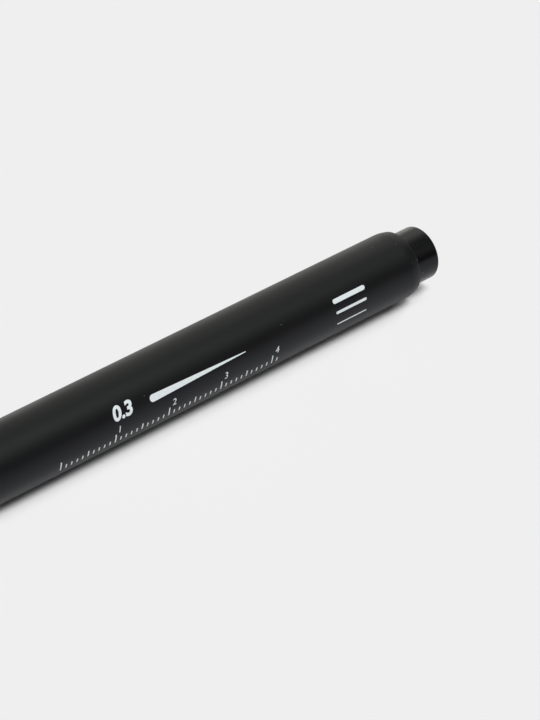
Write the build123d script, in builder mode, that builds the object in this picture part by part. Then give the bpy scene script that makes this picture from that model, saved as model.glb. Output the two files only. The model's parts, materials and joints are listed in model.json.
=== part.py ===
from build123d import *
import os
from math import asin, atan2, cos, degrees, hypot, sin

# Capped fineliner pen, in millimetres.
# The pen lies along X with its tail towards +X and its nib towards -X, under the cap.
# The origin is on the pen's axis, in the plane of the stop face that the cap's mouth meets.
# Radii are added up from the ink reservoir outwards, lengths from the stop face both ways.

# Fits, per side
PRESS_GAP = 0.02            # pieces that are pressed together
CAP_FIT = 0.05              # cap on the neck, inner cap on the nib holder
FILM_CLEARANCE = 0.13       # wrapped reservoir in the barrel
STOP_GAP = 0.10             # cap's mouth to the stop face
END_GAP = 0.20              # ends of inner pieces
SLOT_GAP = 0.20             # clip tongue in its slot

# Ink reservoir
RESERVOIR_DIAMETER = 6.0
FILM_THICKNESS = 0.15

# Barrel
NECK_WALL = 1.05
NECK_LENGTH = 8.5
GRIP_LENGTH = 12.5
GRIP_STEP = 0.12            # drop from the neck to the grip
GRIP_TAPER = 0.30           # radius that the grip loses towards the nib
BARREL_LENGTH = 89.8        # straight outside wall
SHOULDER_RADIUS = 7.5       # arc of the tail shoulder, seen from the side
SHOULDER_LENGTH = 2.0
RIM_CHAMFER = 0.20          # edge where the shoulder meets the end face
STOP_CHAMFER = 0.15
CHAMBER_SETBACK = 2.0       # from the stop face to the wide bore
RIB_HEIGHT = 0.70
RIB_WIDTH = 0.80
RIB_COUNT = 6
RIB_RUNOUT = 1.5            # smooth bore between the ribs and the tail plug

# Snap ring between the cap and the neck
SNAP_SETBACK = 4.0
SNAP_WIDTH = 1.2
BEAD_HEIGHT = 0.12
GROOVE_DEPTH = 0.10

# Tail plug
POST_LENGTH = 4.98
POST_ROUND = 0.47
PLUG_INSERT = 9.0
PLUG_WALL = 0.90
PLUG_END_WALL = 1.4
WEB_THICKNESS = 0.80
GATE_DIAMETER = 1.6
GATE_DEPTH = 0.25

# Nib holder
SHANK_LENGTH = 7.5
FLANGE_THICKNESS = 0.80
FLANGE_CHAMFER = 0.20
LAND_STEP = 0.70
LAND_LENGTH = 2.6
NOSE_STEP = 0.30
NOSE_LENGTH = 5.2
NOSE_WALL = 0.45
SPIKE_LENGTH = 5.0
SPIKE_WALL = 0.40
VENT_DIAMETER = 0.60
VENT_WALL = 0.35            # between a vent and the wick's bore
VENT_COUNT = 2

# Nib and its sleeve
SLEEVE_DIAMETER = 1.2
SLEEVE_WALL = 0.16
SLEEVE_OUT = 2.4            # length that shows in front of the nose
SLEEVE_IN = 9.0
CRIMP_LENGTH = 0.9
NIB_DIAMETER = 0.36
NIB_OUT = 0.7
NIB_TAIL = 4.0

# Feed wick
WICK_DIAMETER = 2.0
WICK_REACH = 8.0            # past the spike, into the reservoir

# Cap
CAP_WALL = 0.78
CAP_STEP = 0.20             # how far the cap lies inside the barrel's outside wall
CAP_STRAIGHT = 33.0
CAP_TAPER = 0.25            # radius that the cap loses towards its top
CAP_TOP_CHAMFER = 0.40
CAP_TOP_LAND = 0.15         # flat ring between that chamfer and the crown
MOUTH_LEAD = 0.25
TIP_CLEARANCE = 1.6
INNER_END_WALL = 0.80
INNER_WALL = 0.60
INNER_FLANGE = 1.0
FIN_COUNT = 4
FIN_THICKNESS = 0.70
FIN_SETBACK = 2.0           # from the nib holder's flange to the fins
LEDGE = 0.50
CROWN_DISC = 1.4
CROWN_STEM = 4.8
CROWN_WALL = 1.5
CROWN_CHAMFER = 0.20

# Clip, bent from steel strip
CLIP_THICKNESS = 0.50
CLIP_WIDTH = 4.2
CLIP_TIP_WIDTH = 3.2
CLIP_SETBACK = 1.0          # from the crown's disc to the middle of the strip
CLIP_REACH = 30.0           # from the root to the bend that bears on the cap
CLIP_FLARE = 3.4            # from that bend to the tip
CLIP_STAND = 1.5            # room under the root
CONTACT_GAP = 0.15
TIP_LIFT = 1.0
ROOT_BEND = 1.0
CONTACT_BEND = 3.0
TONGUE_WIDTH = 3.0
TONGUE_REACH = 1.1          # into the crown's stem
TONGUE_STAND = 0.30         # from the cap to the tongue's shoulders

# Radii, from the centre out
reservoir_r = RESERVOIR_DIAMETER / 2
film_r = reservoir_r + PRESS_GAP + FILM_THICKNESS
bore_r = film_r + FILM_CLEARANCE
chamber_r = bore_r + RIB_HEIGHT
seat_r = bore_r + NECK_WALL
bead_r = seat_r + CAP_FIT
cap_bore_r = bead_r + BEAD_HEIGHT
cap_r = cap_bore_r + CAP_WALL
barrel_r = cap_r + CAP_STEP
grip_r = seat_r - GRIP_STEP
grip_front_r = grip_r - GRIP_TAPER
shoulder_angle = asin(SHOULDER_LENGTH / SHOULDER_RADIUS)
rim_r = barrel_r - SHOULDER_RADIUS * (1 - cos(shoulder_angle))
insert_r = chamber_r - PRESS_GAP
hollow_r = insert_r - PLUG_WALL
shank_r = bore_r - PRESS_GAP
land_r = shank_r - LAND_STEP
sleeve_r = SLEEVE_DIAMETER / 2
sleeve_bore_r = sleeve_r - SLEEVE_WALL
nib_r = NIB_DIAMETER / 2
nib_rod_r = sleeve_bore_r - PRESS_GAP
wick_r = WICK_DIAMETER / 2
wick_bore_r = wick_r + PRESS_GAP
spike_r = wick_bore_r + SPIKE_WALL
vent_circle_r = wick_bore_r + VENT_WALL + VENT_DIAMETER / 2
inner_bore_r = land_r + CAP_FIT
inner_r = inner_bore_r + INNER_WALL
top_bore_r = cap_bore_r - LEDGE
stem_r = top_bore_r - PRESS_GAP
cap_top_r = cap_r - CAP_TAPER

# Stations along the axis, from the tail to the cap's top
rear_x = BARREL_LENGTH + SHOULDER_LENGTH
tail_x = rear_x + POST_LENGTH
plug_x = rear_x - PLUG_INSERT
front_x = -NECK_LENGTH - GRIP_LENGTH
shank_x = front_x + SHANK_LENGTH
spike_x = shank_x + SPIKE_LENGTH
wick_rear_x = spike_x + WICK_REACH
flange_x = front_x - FLANGE_THICKNESS
land_x = flange_x - LAND_LENGTH
nose_x = land_x - NOSE_LENGTH
sleeve_rear_x = nose_x + SLEEVE_IN
sleeve_front_x = nose_x - SLEEVE_OUT
nib_tip_x = sleeve_front_x - NIB_OUT
nib_rear_x = sleeve_rear_x + NIB_TAIL
reservoir_front_x = shank_x + END_GAP
reservoir_rear_x = plug_x - END_GAP
mouth_x = -STOP_GAP
ledge_x = nib_tip_x - TIP_CLEARANCE - INNER_END_WALL
stem_x = ledge_x - END_GAP
disc_x = stem_x - CROWN_STEM
cap_top_x = disc_x - CROWN_DISC
clip_x = disc_x + CLIP_SETBACK
contact_x = clip_x + CLIP_REACH
clip_tip_x = contact_x + CLIP_FLARE


def cap_radius(x):
    """Outside radius of the cap at station x: straight at the mouth, then a slow taper."""
    share = max(0.0, (-CAP_STRAIGHT - x) / (-CAP_STRAIGHT - cap_top_x))
    return cap_r - CAP_TAPER * share


# The clip is turned below the horizontal until its lower edge meets the plane that the pen lies on
clip_arm_r = cap_radius(clip_x) + CLIP_STAND + CLIP_THICKNESS / 2
clip_outer_r = clip_arm_r + CLIP_THICKNESS / 2
clip_corner_r = hypot(clip_outer_r, CLIP_WIDTH / 2)
clip_angle = asin(barrel_r / clip_corner_r) - atan2(CLIP_WIDTH / 2, clip_outer_r)
clip_outward = Vector(0, -cos(clip_angle), -sin(clip_angle))
clip_hinge = Vector(0, sin(clip_angle), -cos(clip_angle))
clip_side = Plane(origin=(0, 0, 0), x_dir=(1, 0, 0), z_dir=clip_hinge)
clip_plan = Plane(origin=(0, 0, 0), x_dir=(1, 0, 0), z_dir=clip_outward)

os.makedirs("parts", exist_ok=True)

# Barrel: moulded tube with a stepped nose for the cap and grip, ribs inside that hold the reservoir
with BuildPart() as barrel:
    with BuildSketch(Plane.XZ):
        with BuildLine():
            Polyline(
                (front_x, grip_front_r),
                (-NECK_LENGTH, grip_r),
                (-NECK_LENGTH, seat_r),
                (0, seat_r),
                (0, barrel_r),
                (BARREL_LENGTH, barrel_r),
            )
            CenterArc(
                (BARREL_LENGTH, barrel_r - SHOULDER_RADIUS),
                SHOULDER_RADIUS,
                90,
                -degrees(shoulder_angle),
            )
            Polyline(
                (rear_x, rim_r),
                (rear_x, chamber_r),
                (CHAMBER_SETBACK, chamber_r),
                (CHAMBER_SETBACK, bore_r),
                (front_x, bore_r),
                (front_x, grip_front_r),
            )
        make_face()
    revolve(axis=Axis.X)
    rear_edges = barrel.edges().filter_by(GeomType.CIRCLE).group_by(Axis.X)[-1]
    chamfer(rear_edges.sort_by(SortBy.RADIUS)[-1], RIM_CHAMFER)
    stop_edges = barrel.edges().filter_by(GeomType.CIRCLE).filter_by_position(Axis.X, -PRESS_GAP, PRESS_GAP)
    chamfer(stop_edges.sort_by(SortBy.RADIUS)[-1], STOP_CHAMFER)
    with BuildSketch(Plane.XZ):
        with Locations((-SNAP_SETBACK, seat_r)):
            Rectangle(SNAP_WIDTH + 2 * GROOVE_DEPTH, 2 * GROOVE_DEPTH)
    revolve(axis=Axis.X, mode=Mode.SUBTRACT)
    with BuildSketch(Plane.YZ.offset(CHAMBER_SETBACK)):
        with PolarLocations(bore_r + RIB_HEIGHT, RIB_COUNT):
            Rectangle(2 * RIB_HEIGHT, RIB_WIDTH)
        Circle(chamber_r + (barrel_r - chamber_r) / 2, mode=Mode.INTERSECT)
    extrude(amount=plug_x - RIB_RUNOUT - CHAMBER_SETBACK)
barrel.part.label = "barrel"
export_step(barrel.part, "parts/barrel.step")

# Tail plug: hollow glossy plug whose post is the neck's diameter, so that the cap also fits there
with BuildPart() as tail_plug:
    with BuildSketch(Plane.XZ):
        with BuildLine():
            Polyline(
                (plug_x, hollow_r),
                (plug_x, insert_r),
                (rear_x, insert_r),
                (rear_x, seat_r),
                (tail_x, seat_r),
                (tail_x, GATE_DIAMETER / 2),
                (tail_x - GATE_DEPTH, GATE_DIAMETER / 2),
                (tail_x - GATE_DEPTH, 0),
                (tail_x - PLUG_END_WALL, 0),
                (tail_x - PLUG_END_WALL, hollow_r),
                close=True,
            )
        make_face()
    revolve(axis=Axis.X)
    tail_edges = tail_plug.edges().filter_by(GeomType.CIRCLE).group_by(Axis.X)[-1]
    fillet(tail_edges.sort_by(SortBy.RADIUS)[-1], POST_ROUND)
    with BuildSketch(Plane.YZ.offset(plug_x)):
        Rectangle(2 * insert_r, WEB_THICKNESS)
        Rectangle(WEB_THICKNESS, 2 * insert_r)
        Circle(hollow_r + PLUG_WALL / 4, mode=Mode.INTERSECT)
    extrude(amount=tail_x - PLUG_END_WALL - plug_x)
tail_plug.part.label = "tail_plug"
export_step(tail_plug.part, "parts/tail_plug.step")

# Reservoir: fibre rod with a stepped hole for the nib holder's spike and the wick, wrapped in film
with BuildPart() as reservoir_core:
    with BuildSketch(Plane.XZ):
        with BuildLine():
            Polyline(
                (reservoir_front_x, spike_r + PRESS_GAP),
                (reservoir_front_x, reservoir_r),
                (reservoir_rear_x, reservoir_r),
                (reservoir_rear_x, 0),
                (wick_rear_x + END_GAP, 0),
                (wick_rear_x + END_GAP, wick_bore_r),
                (spike_x + END_GAP, wick_bore_r),
                (spike_x + END_GAP, spike_r + PRESS_GAP),
                close=True,
            )
        make_face()
    revolve(axis=Axis.X)
reservoir_core.part.label = "reservoir_core"
export_step(reservoir_core.part, "parts/reservoir_core.step")

with BuildPart() as reservoir_film:
    with BuildSketch(Plane.YZ.offset(reservoir_front_x)):
        Circle(film_r)
        Circle(film_r - FILM_THICKNESS, mode=Mode.SUBTRACT)
    extrude(amount=reservoir_rear_x - reservoir_front_x)
reservoir_film.part.label = "reservoir_film"
export_step(reservoir_film.part, "parts/reservoir_film.step")

# Nib holder: shank in the barrel, land that the inner cap seals on, conical nose, spike for the wick
with BuildPart() as nib_holder:
    nose_r = sleeve_r + PRESS_GAP + NOSE_WALL
    with BuildSketch(Plane.XZ):
        with BuildLine():
            Polyline(
                (nose_x, sleeve_r + PRESS_GAP),
                (nose_x, nose_r),
                (land_x, land_r - NOSE_STEP),
                (land_x, land_r),
                (flange_x, land_r),
                (flange_x, grip_front_r),
                (front_x, grip_front_r),
                (front_x, shank_r),
                (shank_x, shank_r),
                (shank_x, spike_r),
                (spike_x, spike_r),
                (spike_x, wick_bore_r),
                (sleeve_rear_x, wick_bore_r),
                (sleeve_rear_x, sleeve_r + PRESS_GAP),
                close=True,
            )
        make_face()
    revolve(axis=Axis.X)
    flange_edges = nib_holder.edges().filter_by(GeomType.CIRCLE).filter_by_position(
        Axis.X, flange_x - PRESS_GAP, flange_x + PRESS_GAP
    )
    chamfer(flange_edges.sort_by(SortBy.RADIUS)[-1], FLANGE_CHAMFER)
    with BuildSketch(Plane.YZ.offset(nose_x)):
        with PolarLocations(vent_circle_r, VENT_COUNT):
            Circle(VENT_DIAMETER / 2)
    extrude(amount=shank_x - nose_x, mode=Mode.SUBTRACT)
nib_holder.part.label = "nib_holder"
export_step(nib_holder.part, "parts/nib_holder.step")

# Nib sleeve: drawn steel tube, narrowed at the front to hold the fibre nib
with BuildPart() as nib_sleeve:
    crimp_x = sleeve_front_x + CRIMP_LENGTH
    nib_bore_r = nib_r + PRESS_GAP
    with BuildSketch(Plane.XZ):
        with BuildLine():
            Polyline(
                (sleeve_front_x, nib_bore_r),
                (sleeve_front_x, nib_bore_r + SLEEVE_WALL),
                (crimp_x, sleeve_r),
                (sleeve_rear_x, sleeve_r),
                (sleeve_rear_x, sleeve_bore_r),
                (crimp_x, sleeve_bore_r),
                close=True,
            )
        make_face()
    revolve(axis=Axis.X)
nib_sleeve.part.label = "nib_sleeve"
export_step(nib_sleeve.part, "parts/nib_sleeve.step")

# Nib: fibre rod that follows the sleeve's bore and ends in a round point
with BuildPart() as nib:
    with BuildSketch(Plane.XZ):
        with BuildLine():
            CenterArc((nib_tip_x + nib_r, 0), nib_r, 180, -90)
            Polyline(
                (nib_tip_x + nib_r, nib_r),
                (sleeve_front_x, nib_r),
                (crimp_x, nib_rod_r),
                (nib_rear_x, nib_rod_r),
                (nib_rear_x, 0),
                (nib_tip_x, 0),
            )
        make_face()
    revolve(axis=Axis.X)
nib.part.label = "nib"
export_step(nib.part, "parts/nib.step")

# Feed wick: carries ink from the reservoir to the nib, which sits in its front end
with BuildPart() as feed_wick:
    wick_front_x = sleeve_rear_x + END_GAP
    with BuildSketch(Plane.XZ):
        with BuildLine():
            Polyline(
                (wick_front_x, nib_rod_r + PRESS_GAP),
                (wick_front_x, wick_r),
                (wick_rear_x, wick_r),
                (wick_rear_x, 0),
                (nib_rear_x + END_GAP, 0),
                (nib_rear_x + END_GAP, nib_rod_r + PRESS_GAP),
                close=True,
            )
        make_face()
    revolve(axis=Axis.X)
feed_wick.part.label = "feed_wick"
export_step(feed_wick.part, "parts/feed_wick.step")

# Cap shell: tube with a snap bead, a ledge for the inner cap and a slot for the clip's tongue
with BuildPart() as cap_shell:
    top_wall = cap_top_r - cap_bore_r
    with BuildSketch(Plane.XZ):
        with BuildLine():
            Polyline(
                (mouth_x, cap_bore_r + MOUTH_LEAD),
                (mouth_x, cap_r - STOP_CHAMFER),
                (mouth_x - STOP_CHAMFER, cap_r),
                (-CAP_STRAIGHT, cap_r),
                (cap_top_x, cap_top_r),
                (cap_top_x, cap_bore_r),
                (disc_x, cap_bore_r),
                (disc_x, top_bore_r),
                (ledge_x, top_bore_r),
                (ledge_x, cap_bore_r),
                (mouth_x - 2 * MOUTH_LEAD, cap_bore_r),
                close=True,
            )
        make_face()
    revolve(axis=Axis.X)
    top_edges = cap_shell.edges().filter_by(GeomType.CIRCLE).group_by(Axis.X)[0]
    chamfer(top_edges.sort_by(SortBy.RADIUS)[-1], min(CAP_TOP_CHAMFER, top_wall - CAP_TOP_LAND))
    with BuildSketch(Plane.XZ):
        with BuildLine():
            Polyline(
                (-SNAP_SETBACK - SNAP_WIDTH / 2, cap_bore_r + BEAD_HEIGHT),
                (-SNAP_SETBACK - SNAP_WIDTH / 2, cap_bore_r),
                (-SNAP_SETBACK - SNAP_WIDTH / 4, bead_r),
                (-SNAP_SETBACK + SNAP_WIDTH / 4, bead_r),
                (-SNAP_SETBACK + SNAP_WIDTH / 2, cap_bore_r),
                (-SNAP_SETBACK + SNAP_WIDTH / 2, cap_bore_r + BEAD_HEIGHT),
                close=True,
            )
        make_face()
    revolve(axis=Axis.X)
    with BuildSketch(clip_plan):
        with Locations((clip_x, 0)):
            Rectangle(CLIP_THICKNESS + 2 * SLOT_GAP, TONGUE_WIDTH + 2 * SLOT_GAP)
    extrude(amount=2 * barrel_r, mode=Mode.SUBTRACT)
cap_shell.part.label = "cap_shell"
export_step(cap_shell.part, "parts/cap_shell.step")

# Inner cap: soft liner that seals on the nib holder's land, centred in the shell by its flange and fins
with BuildPart() as inner_cap:
    skirt_x = flange_x - END_GAP
    with BuildSketch(Plane.XZ):
        with BuildLine():
            Polyline(
                (ledge_x, 0),
                (ledge_x, cap_bore_r - PRESS_GAP),
                (ledge_x + INNER_FLANGE, cap_bore_r - PRESS_GAP),
                (ledge_x + INNER_FLANGE, inner_r),
                (skirt_x, inner_r),
                (skirt_x, inner_bore_r),
                (ledge_x + INNER_END_WALL, inner_bore_r),
                (ledge_x + INNER_END_WALL, 0),
                close=True,
            )
        make_face()
    revolve(axis=Axis.X)
    with BuildSketch(Plane.YZ.offset(ledge_x + INNER_FLANGE)):
        with PolarLocations((inner_r + cap_bore_r) / 2, FIN_COUNT, start_angle=180 / FIN_COUNT):
            Rectangle(cap_bore_r - inner_r + INNER_WALL, FIN_THICKNESS)
        Circle(cap_bore_r - PRESS_GAP, mode=Mode.INTERSECT)
        Circle(inner_r - INNER_WALL / 4, mode=Mode.SUBTRACT)
    extrude(amount=skirt_x - FIN_SETBACK - ledge_x - INNER_FLANGE)
inner_cap.part.label = "inner_cap"
export_step(inner_cap.part, "parts/inner_cap.step")

# Cap crown: glossy disc that closes the cap, with a hollow stem that locks the clip's tongue
with BuildPart() as cap_crown:
    with BuildSketch(Plane.XZ):
        with BuildLine():
            Polyline(
                (cap_top_x, 0),
                (cap_top_x, cap_bore_r - PRESS_GAP),
                (disc_x, cap_bore_r - PRESS_GAP),
                (disc_x, stem_r),
                (stem_x, stem_r),
                (stem_x, stem_r - CROWN_WALL),
                (disc_x, stem_r - CROWN_WALL),
                (disc_x, 0),
                close=True,
            )
        make_face()
    revolve(axis=Axis.X)
    crown_edges = cap_crown.edges().filter_by(GeomType.CIRCLE).group_by(Axis.X)[0]
    chamfer(crown_edges.sort_by(SortBy.RADIUS)[-1], CROWN_CHAMFER)
    slot_start = clip_x - CLIP_THICKNESS / 2 - SLOT_GAP
    with BuildSketch(clip_plan):
        with Locations((slot_start, 0)):
            Rectangle(
                stem_x + END_GAP - slot_start,
                TONGUE_WIDTH + 2 * SLOT_GAP,
                align=(Align.MIN, Align.CENTER),
            )
    extrude(amount=2 * barrel_r, mode=Mode.SUBTRACT)
cap_crown.part.label = "cap_crown"
export_step(cap_crown.part, "parts/cap_crown.step")

# Clip: strip bent out of the slot, along the cap to the bearing bend, and up into a flared round tip
with BuildPart() as clip:
    tongue_end_r = stem_r - TONGUE_REACH
    contact_r = cap_radius(contact_x) + CONTACT_GAP + CLIP_THICKNESS / 2
    with BuildLine(clip_side) as clip_path:
        FilletPolyline(
            (clip_x, tongue_end_r),
            (clip_x, clip_arm_r),
            (contact_x, contact_r),
            (clip_tip_x, contact_r + TIP_LIFT),
            radius=(ROOT_BEND, CONTACT_BEND),
        )
    with BuildSketch(Plane(origin=clip_path.line @ 0, x_dir=clip_hinge, z_dir=clip_path.line % 0)):
        Rectangle(CLIP_WIDTH, CLIP_THICKNESS)
    sweep(path=clip_path.line)
    with BuildSketch(clip_plan):
        with BuildLine():
            tip_r = CLIP_TIP_WIDTH / 2
            root_edge = clip_x - CLIP_THICKNESS
            lower = Line((root_edge, -CLIP_WIDTH / 2), (clip_tip_x - tip_r, -tip_r))
            tip = ThreePointArc(lower @ 1, (clip_tip_x, 0), (clip_tip_x - tip_r, tip_r))
            Polyline(tip @ 1, (root_edge, CLIP_WIDTH / 2), lower @ 0)
        make_face()
    extrude(amount=2 * clip_outer_r, mode=Mode.INTERSECT)
    shoulder_r = cap_radius(clip_x) + TONGUE_STAND
    with BuildSketch(clip_plan):
        with Locations((clip_x, 0)):
            Rectangle(4 * CLIP_THICKNESS, 2 * CLIP_WIDTH)
            Rectangle(4 * CLIP_THICKNESS, TONGUE_WIDTH, mode=Mode.SUBTRACT)
    extrude(amount=shoulder_r, mode=Mode.SUBTRACT)
clip.part.label = "clip"
export_step(clip.part, "parts/clip.step")
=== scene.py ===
"""Studio scene of a capped fineliner pen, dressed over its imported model.

Sizes in the classes are millimetres. Meshes are made in metres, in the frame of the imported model:
+X runs along the pen towards its tail, +Z is up and -Y faces the viewer.
"""

from __future__ import annotations

import json
import logging
import math
from collections.abc import Sequence
from dataclasses import dataclass
from enum import Enum

import bmesh
import bpy
from mathutils import Matrix, Vector

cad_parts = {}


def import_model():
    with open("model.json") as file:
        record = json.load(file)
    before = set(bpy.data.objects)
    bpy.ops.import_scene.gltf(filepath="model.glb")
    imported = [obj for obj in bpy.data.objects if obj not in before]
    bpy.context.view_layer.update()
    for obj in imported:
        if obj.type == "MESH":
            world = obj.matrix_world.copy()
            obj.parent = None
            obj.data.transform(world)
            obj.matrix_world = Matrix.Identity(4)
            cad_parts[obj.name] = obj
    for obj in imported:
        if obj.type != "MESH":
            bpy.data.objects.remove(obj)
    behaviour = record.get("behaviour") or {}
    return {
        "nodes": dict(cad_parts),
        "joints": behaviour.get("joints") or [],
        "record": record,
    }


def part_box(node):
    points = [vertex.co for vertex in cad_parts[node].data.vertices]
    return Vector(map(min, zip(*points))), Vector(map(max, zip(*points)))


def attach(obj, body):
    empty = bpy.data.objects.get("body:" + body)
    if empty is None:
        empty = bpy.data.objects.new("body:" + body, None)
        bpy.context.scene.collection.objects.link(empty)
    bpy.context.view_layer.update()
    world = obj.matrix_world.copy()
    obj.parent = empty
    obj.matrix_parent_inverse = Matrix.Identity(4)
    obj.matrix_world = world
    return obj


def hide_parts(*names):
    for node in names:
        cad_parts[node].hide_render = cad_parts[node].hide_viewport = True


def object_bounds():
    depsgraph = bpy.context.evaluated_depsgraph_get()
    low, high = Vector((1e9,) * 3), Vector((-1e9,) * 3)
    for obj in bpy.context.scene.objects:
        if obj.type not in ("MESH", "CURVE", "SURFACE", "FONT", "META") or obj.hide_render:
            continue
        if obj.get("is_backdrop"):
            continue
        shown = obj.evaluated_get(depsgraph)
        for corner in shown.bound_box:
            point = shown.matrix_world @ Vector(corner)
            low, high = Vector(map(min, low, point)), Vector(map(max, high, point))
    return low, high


LOG = logging.getLogger("fineliner")

MM = 0.001                      # metres in a millimetre
ROUND_SEGMENTS = 192            # faces round a turned piece
EASE_STEP = math.radians(11)    # turn of one facet on an eased corner
FEWEST_EASE_STEPS = 2           # facets of a corner that hardly turns
EASE_SHARE = 0.75               # most of a run that an eased corner may take
GUARD = 0.06                    # ring beside each end of a straight run, keeps its shading flat
GUARDED_RUN = 3 * GUARD         # runs longer than this have guard rings
LONGEST_RUN = 5.0               # longest face along the pen
POLE = 1e-6                     # radius under which a ring is a single point
WELD = 1e-4                     # points closer than this are one
SHARP = math.radians(32)        # edges that turn more than this shade as creases
LEVEL = 1e-6                    # metres that the ends of a level edge may differ in height
TYPE_WELD = 1e-5                # points of set type closer than this are one, in its own units
TYPE_DEPTH = 0.5                # depth of set type, in its own units, before it is pressed flat
SMALLEST_SPECK = 0.4            # radius of the smallest speck, as a share of the largest
SPECK_CORE = 0.5                # share of a speck's radius that it covers fully
STRIP_MAP = "strip"             # UV map of the clip's flat strip, in metres
MIX_COLOURS = (6, 7)            # places of a Mix node's two colours among its inputs
MIX_RESULT = 2                  # place of the mixed colour among its outputs

Point = tuple[float, float]
Colour = tuple[float, float, float]
Material = bpy.types.Material
Mesh = bpy.types.Mesh
Piece = bpy.types.Object
Shape = bmesh.types.BMesh
Socket = bpy.types.NodeSocket
Tree = bpy.types.NodeTree


class Body(Enum):
    """Moving bodies of the pen."""

    PEN = "pen"
    CAP = "cap"
    CLIP = "clip"


class Bar(Enum):
    """Form of the bars that repeat round the axis."""

    BLOCK = "block"
    ROD = "rod"


class Join(Enum):
    """How one solid is combined with another."""

    FUSE = "UNION"
    CUT = "DIFFERENCE"


# Node trees


class Graph:
    """Adds nodes to one node tree and links them as they are added."""

    def __init__(self, tree: Tree) -> None:
        """Keep the tree that the nodes go into."""
        self.tree = tree

    def add(self, kind: str, inputs: dict | None = None, **options: object) -> bpy.types.Node:
        """Add one node.

        Args:
            kind: Blender's type name of the node.
            inputs: A value or an output socket for each input, by its name or place.
            options: The node's own settings, such as its operation.

        Returns:
            The new node.
        """
        node = self.tree.nodes.new(kind)
        for option, value in options.items():
            setattr(node, option, value)
        for key, value in (inputs or {}).items():
            if isinstance(value, Socket):
                self.tree.links.new(value, node.inputs[key])
            else:
                node.inputs[key].default_value = value
        return node

    def out(self, kind: str, inputs: dict | None = None, **options: object) -> Socket:
        """Add one node in the same way and return its first output."""
        return self.add(kind, inputs, **options).outputs[0]

    def maths(self, operation: str, *values: object) -> Socket:
        """Add a Math node over numbers or sockets, in order, and return its result."""
        return self.out("ShaderNodeMath", dict(enumerate(values)), operation=operation)

    def vector(self, x: object, y: object = 0.0, z: object = 0.0) -> Socket:
        """Join three numbers or sockets and return the vector."""
        return self.out("ShaderNodeCombineXYZ", {0: x, 1: y, 2: z})

    def parts(self, vector: Socket) -> bpy.types.NodeOutputs:
        """Return the sockets X, Y and Z of a vector."""
        return self.add("ShaderNodeSeparateXYZ", {0: vector}).outputs

    def ramp(self, value: Socket, span: Point, low: object = 0.0, high: object = 1.0) -> Socket:
        """Map a stretch of numbers smoothly onto another.

        Args:
            value: The socket to read.
            span: The numbers that give low and high.
            low: First result.
            high: Last result.

        Returns:
            The socket with the result.
        """
        start, end = span
        numbers = {"Value": value, "From Min": start, "From Max": end, "To Min": low, "To Max": high}
        return self.out("ShaderNodeMapRange", numbers, interpolation_type="SMOOTHSTEP")


class ShapeGraph(Graph):
    """A Geometry Nodes tree with named inputs."""

    def __init__(self, name: str, takes_mesh: bool) -> None:
        """Start an empty tree.

        Args:
            name: The tree's name.
            takes_mesh: Whether the tree changes the object's own mesh.
        """
        super().__init__(bpy.data.node_groups.new(name, "GeometryNodeTree"))
        if takes_mesh:
            self.tree.interface.new_socket("Mesh", in_out="INPUT", socket_type="NodeSocketGeometry")
        self.tree.interface.new_socket("Mesh", in_out="OUTPUT", socket_type="NodeSocketGeometry")
        self.entry = self.tree.nodes.new("NodeGroupInput")

    def takes(self, *names: str, kind: str = "NodeSocketFloat") -> dict[str, Socket]:
        """Add named inputs to the tree.

        Args:
            names: Their names.
            kind: Blender's type name of their sockets.

        Returns:
            Their sockets by name.
        """
        for name in names:
            self.tree.interface.new_socket(name, in_out="INPUT", socket_type=kind)
        return {name: self.entry.outputs[name] for name in names}

    def close(self, shape: Socket) -> Tree:
        """End the tree in Realize Instances and Set Material.

        Args:
            shape: The geometry that the tree has made.

        Returns:
            The finished tree.
        """
        realized = self.out("GeometryNodeRealizeInstances", {0: shape})
        material = self.takes("Material", kind="NodeSocketMaterial")
        dressed = self.out("GeometryNodeSetMaterial", {"Geometry": realized, **material})
        self.add("NodeGroupOutput", {"Mesh": dressed})
        return self.tree

    def round_axis(self, x: Socket, radius: Socket, angle: Socket) -> Socket:
        """Find a place round the pen's axis.

        Args:
            x: Its station along the pen.
            radius: Its distance from the axis.
            angle: Its angle from -Y towards +Z.

        Returns:
            The place.
        """
        y = self.maths("MULTIPLY", self.maths("MULTIPLY", radius, -1.0), self.maths("COSINE", angle))
        return self.vector(x, y, self.maths("MULTIPLY", radius, self.maths("SINE", angle)))

    def wrapped(self, shape: Socket, radius: Socket) -> Socket:
        """Wrap flat geometry round the barrel: X stays, Y becomes an arc from -Y upwards, Z the height.

        Args:
            shape: Flat geometry.
            radius: Radius that its Z zero lies on.

        Returns:
            The wrapped geometry.
        """
        flat = self.parts(self.out("GeometryNodeInputPosition"))
        angle = self.maths("DIVIDE", flat["Y"], radius)
        place = self.round_axis(flat["X"], self.maths("ADD", radius, flat["Z"]), angle)
        return self.out("GeometryNodeSetPosition", {"Geometry": shape, "Position": place})

    def spread(self, count: Socket, place: Socket, shape: Socket, **fit: Socket) -> Socket:
        """Set copies of a shape in their places.

        Args:
            count: How many copies.
            place: Where each one goes.
            shape: The shape.
            fit: The Rotation or Scale of each one.

        Returns:
            The copies.
        """
        points = self.out("GeometryNodePoints", {"Count": count, "Position": place})
        return self.out("GeometryNodeInstanceOnPoints", {"Points": points, "Instance": shape, **fit})


def in_metres(lengths: dict[str, float]) -> dict[str, float]:
    """Turn named lengths from millimetres into metres."""
    return {name: length * MM for name, length in lengths.items()}


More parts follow.
